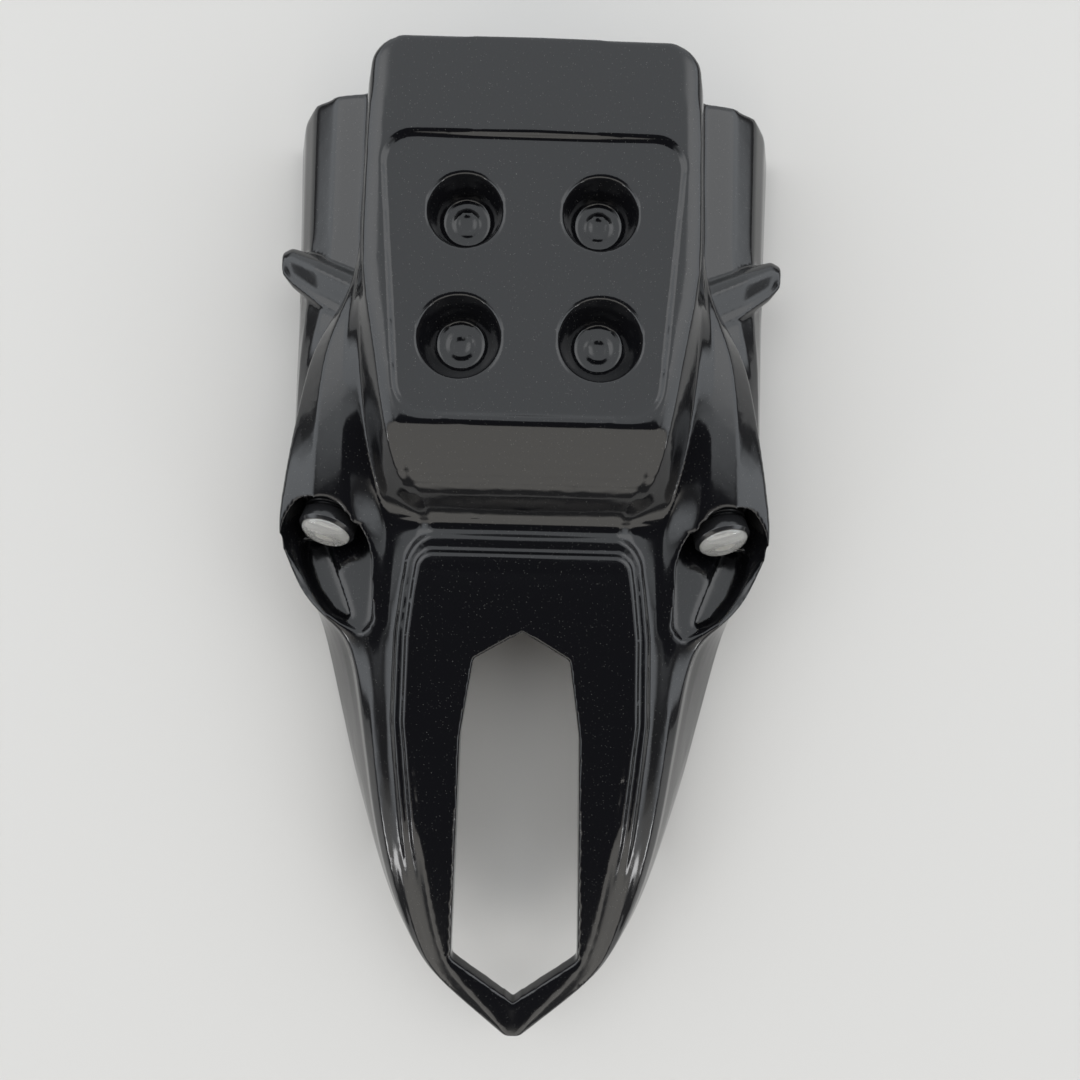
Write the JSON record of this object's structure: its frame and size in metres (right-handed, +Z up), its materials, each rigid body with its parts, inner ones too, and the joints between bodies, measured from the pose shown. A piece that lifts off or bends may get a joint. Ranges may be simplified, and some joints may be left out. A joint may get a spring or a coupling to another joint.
{
  "type": "motorcycle tail light cover",
  "caption": "Moulded gloss black tail light cover with a raised deck, flared brows over bolt-in lamps and a long window in the tapered lower panel",
  "frame": {"origin": "middle of the footprint, on the surface that the rim stands on", "axes": "+X to the right as seen from above with the nose below, +Y towards the raised deck, +Z up"},
  "size_m": [0.2124, 0.3975, 0.0743],
  "materials": {
    "cover_paint": "gloss black with a fine metallic flake",
    "lamp_black": "black anodised",
    "lens_clear": "clear moulded",
    "board_white": "matt white",
    "chip_yellow": "pale yellow resin",
    "gasket_rubber": "black rubber",
    "fixing_steel": "zinc plated"
  },
  "bodies": {
    "root": {"cover_shell": "cover_paint", "lamp_body_left": "lamp_black", "lamp_body_right": "lamp_black", "lens_left": "lens_clear", "lens_right": "lens_clear", "led_board_left": "board_white", "led_board_right": "board_white", "led_chip_left": "chip_yellow", "led_chip_right": "chip_yellow", "gasket_left": "gasket_rubber", "gasket_right": "gasket_rubber", "lamp_washer_left": "fixing_steel", "lamp_washer_right": "fixing_steel", "lamp_nut_left": "fixing_steel", "lamp_nut_right": "fixing_steel"}
  },
  "joints": []
}
